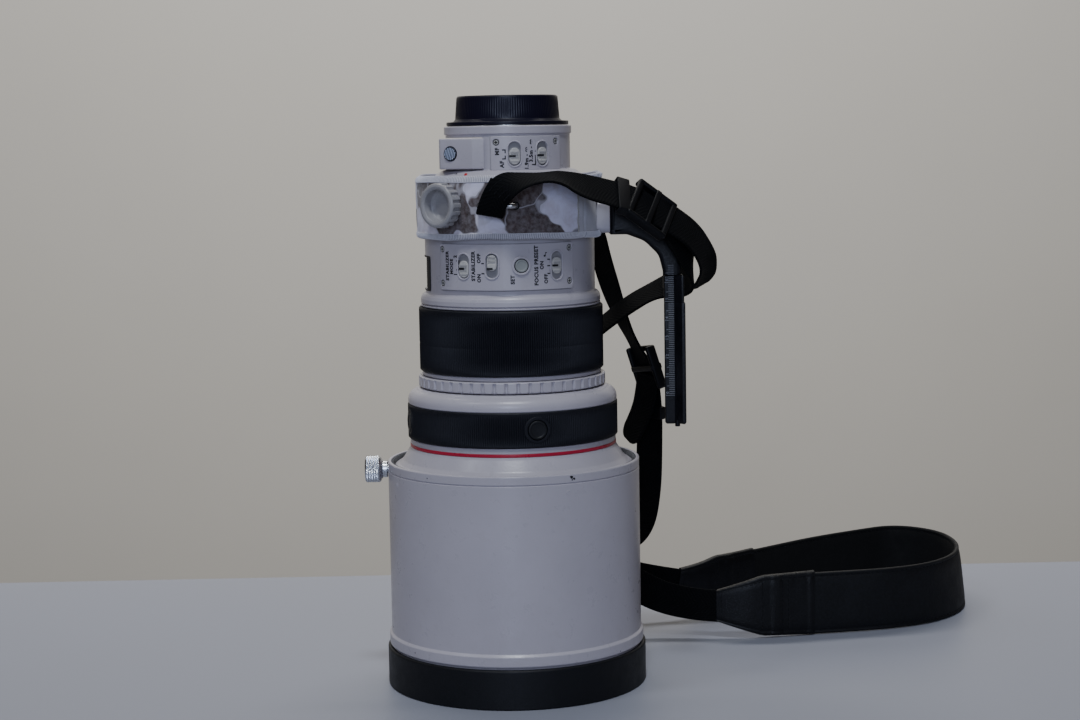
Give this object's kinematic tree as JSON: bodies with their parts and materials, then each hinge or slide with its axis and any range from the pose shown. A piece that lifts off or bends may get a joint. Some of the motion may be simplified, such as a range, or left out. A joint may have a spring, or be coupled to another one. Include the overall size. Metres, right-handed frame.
{
  "type": "telephoto camera lens",
  "caption": "Large light-grey telephoto lens standing on its hood, with a turning collar and foot, a patterned collar cover, a drop-in filter and a carrying strap.",
  "frame": {"origin": "centre of the hood's front rim, the ring that the lens stands on", "axes": "+Z along the optical axis, from the front rim towards the camera mount; +X towards the foot; -Y towards the side with the switches"},
  "size_m": [0.3607, 0.2961, 0.3146],
  "materials": {
    "white_paint": "satin",
    "black_paint": "matt",
    "hood_rubber": "matt",
    "grip_rubber": "ribbed matt",
    "felt": "napped",
    "red_line": "satin",
    "bright_knob": "knurled",
    "black_anodised": "satin anodised",
    "foot_paint": "satin",
    "steel": "turned",
    "coated_glass": "coated",
    "window_plastic": "polished",
    "button_plastic": "matt",
    "switch_plastic": "satin",
    "scale_film": "printed",
    "cap_plastic": "moulded",
    "board": "coated",
    "neoprene": "stretch knit over foam",
    "webbing": "woven",
    "buckle_plastic": "moulded",
    "strap_leather": "grained",
    "contacts": "polished"
  },
  "bodies": {
    "hood": {"hood_tube": "white_paint", "hood_screws": "steel", "hood_rubber_ring": "hood_rubber", "hood_felt_lining": "felt"},
    "hood_lock": {"hood_lock_knob": "bright_knob"},
    "barrel": {"front_barrel": "white_paint", "red_ring": "red_line", "front_cell": "black_paint", "front_lens_group": "coated_glass", "stop_button_grip": "grip_rubber", "mid_barrel": "white_paint", "main_switch_panel": "white_paint", "switch_barrel": "white_paint", "distance_window": "window_plastic", "motor_stator": "steel", "iris_housing": "black_anodised", "iris_blades": "steel", "circuit_board": "board", "rear_switch_panel": "white_paint", "mount_bayonet": "steel", "mount_contacts": "contacts", "rear_barrel": "white_paint", "barrel_screws": "steel", "rear_lens_group": "coated_glass"},
    "stop_button_1": {"stop_button_1": "button_plastic"},
    "stop_button_2": {"stop_button_2": "button_plastic"},
    "stop_button_3": {"stop_button_3": "button_plastic"},
    "stop_button_4": {"stop_button_4": "button_plastic"},
    "playback_ring": {"playback_ring": "white_paint"},
    "focus_ring": {"focus_sleeve": "black_anodised", "focus_grip": "grip_rubber"},
    "distance_scale": {"distance_scale": "scale_film"},
    "focus_cell": {"focus_cell": "black_anodised", "focus_lens_group": "coated_glass"},
    "motor_rotor": {"motor_rotor": "steel"},
    "stabiliser_guide": {"stabiliser_guide": "black_anodised"},
    "stabiliser_carrier": {"stabiliser_carrier": "black_anodised", "stabiliser_lens": "coated_glass"},
    "iris_cam_ring": {"iris_cam_ring": "steel"},
    "stabiliser_mode_switch": {"stabiliser_mode_switch": "switch_plastic"},
    "stabiliser_switch": {"stabiliser_switch": "switch_plastic"},
    "focus_preset_switch": {"focus_preset_switch": "switch_plastic"},
    "set_button": {"set_button": "switch_plastic"},
    "af_mode_switch": {"af_mode_switch": "switch_plastic"},
    "focus_range_switch": {"focus_range_switch": "switch_plastic"},
    "filter_holder": {"filter_holder": "white_paint", "drop_in_filter": "coated_glass"},
    "filter_release_left": {"filter_release_button_left": "bright_knob"},
    "filter_release_right": {"filter_release_button_right": "bright_knob"},
    "rear_cap": {"rear_cap": "cap_plastic"},
    "collar": {"collar_ring": "white_paint", "collar_cover": "neoprene", "strap_lugs": "steel", "tripod_foot": "foot_paint", "strap_webbing_front": "webbing", "strap_webbing_rear": "webbing", "strap_pad": "strap_leather", "strap_tabs": "strap_leather", "strap_buckles": "buckle_plastic"},
    "collar_knob": {"collar_knob": "white_paint"}
  },
  "joints": [
    {"name": "hood_lock_turn", "type": "hinge", "parent": "hood", "child": "hood_lock", "pos_m": [-0.07, 0, 0.116], "axis": [-1, 0, 0], "range_deg": [0, 720]},
    {"name": "barrel_lift", "type": "slide", "parent": "hood", "child": "barrel", "axis": [0, 0, 1], "range_m": [0, 0.13]},
    {"name": "playback_turn", "type": "hinge", "parent": "barrel", "child": "playback_ring", "pos_m": [0, 0, 0.164], "axis": [0, 0, 1], "range_deg": [-12, 12], "stiffness_Nm_per_rad": 0.05},
    {"name": "focus_turn", "type": "hinge", "parent": "barrel", "child": "focus_ring", "pos_m": [0, 0, 0.187], "axis": [0, 0, 1], "range_deg": [0, 150]},
    {"name": "distance_scale_turn", "type": "hinge", "parent": "barrel", "child": "distance_scale", "pos_m": [0, 0, 0.22], "axis": [0, 0, 1], "range_deg": [0, 150]},
    {"name": "focus_cell_travel", "type": "slide", "parent": "barrel", "child": "focus_cell", "axis": [0, 0, 1], "range_m": [0, 0.0122]},
    {"name": "motor_turn", "type": "hinge", "parent": "barrel", "child": "motor_rotor", "pos_m": [0, 0, 0.193], "axis": [0, 0, 1], "range_deg": [-150, 150]},
    {"name": "stabiliser_x", "type": "slide", "parent": "barrel", "child": "stabiliser_guide", "axis": [1, 0, 0], "range_m": [-0.001, 0.001]},
    {"name": "stabiliser_y", "type": "slide", "parent": "stabiliser_guide", "child": "stabiliser_carrier", "axis": [0, 1, 0], "range_m": [-0.001, 0.001]},
    {"name": "iris_turn", "type": "hinge", "parent": "barrel", "child": "iris_cam_ring", "pos_m": [0, 0, 0.2434], "axis": [0, 0, 1], "range_deg": [0, 30]},
    {"name": "stop_button_1_press", "type": "slide", "parent": "barrel", "child": "stop_button_1", "axis": [-0.225, 0.9744, 0], "range_m": [0, 0.0008], "stiffness_N_per_m": 500, "springref_m": -0.001},
    {"name": "stop_button_2_press", "type": "slide", "parent": "barrel", "child": "stop_button_2", "axis": [0.9744, 0.225, 0], "range_m": [0, 0.0008], "stiffness_N_per_m": 500, "springref_m": -0.001},
    {"name": "stop_button_3_press", "type": "slide", "parent": "barrel", "child": "stop_button_3", "axis": [-0.9744, -0.225, 0], "range_m": [0, 0.0008], "stiffness_N_per_m": 500, "springref_m": -0.001},
    {"name": "stop_button_4_press", "type": "slide", "parent": "barrel", "child": "stop_button_4", "axis": [0.225, -0.9744, 0], "range_m": [0, 0.0008], "stiffness_N_per_m": 500, "springref_m": -0.001},
    {"name": "set_button_press", "type": "slide", "parent": "barrel", "child": "set_button", "axis": [-0.1253, 0.9921, 0], "range_m": [0, 0.0008], "stiffness_N_per_m": 400, "springref_m": -0.001},
    {"name": "stabiliser_mode_switch_slide", "type": "slide", "parent": "barrel", "child": "stabiliser_mode_switch", "axis": [0, 0, 1], "range_m": [0, 0.003]},
    {"name": "stabiliser_switch_slide", "type": "slide", "parent": "barrel", "child": "stabiliser_switch", "axis": [0, 0, 1], "range_m": [-0.003, 0]},
    {"name": "focus_preset_switch_slide", "type": "slide", "parent": "barrel", "child": "focus_preset_switch", "axis": [0, 0, 1], "range_m": [-0.0024, 0.0024]},
    {"name": "af_mode_switch_slide", "type": "slide", "parent": "barrel", "child": "af_mode_switch", "axis": [0, 0, 1], "range_m": [0, 0.0024]},
    {"name": "focus_range_switch_slide", "type": "slide", "parent": "barrel", "child": "focus_range_switch", "axis": [0, 0, 1], "range_m": [0, 0.0024]},
    {"name": "filter_holder_pull", "type": "slide", "parent": "barrel", "child": "filter_holder", "axis": [-1, 0, 0], "range_m": [0, 0.065]},
    {"name": "filter_release_left_press", "type": "slide", "parent": "filter_holder", "child": "filter_release_left", "axis": [0.4391, 0.8984, 0], "range_m": [0, 0.0015], "stiffness_N_per_m": 400, "springref_m": -0.001},
    {"name": "filter_release_right_press", "type": "slide", "parent": "filter_holder", "child": "filter_release_right", "axis": [0.4391, -0.8984, 0], "range_m": [0, 0.0015], "stiffness_N_per_m": 400, "springref_m": -0.001},
    {"name": "rear_cap_lift", "type": "slide", "parent": "barrel", "child": "rear_cap", "axis": [0, 0, 1], "range_m": [0, 0.03]},
    {"name": "collar_turn", "type": "hinge", "parent": "barrel", "child": "collar", "pos_m": [0, 0, 0.256], "axis": [0, 0, 1], "continuous": true},
    {"name": "collar_knob_turn", "type": "hinge", "parent": "collar", "child": "collar_knob", "pos_m": [-0.03343, -0.03983, 0.2584], "axis": [-0.6428, -0.766, 0], "range_deg": [0, 1080]}
  ],
  "couplings": [
    {"joint": "distance_scale_turn", "follows": "focus_turn", "ratio": 1},
    {"joint": "focus_cell_travel", "follows": "focus_turn", "m_per_rad": 0.004583}
  ]
}
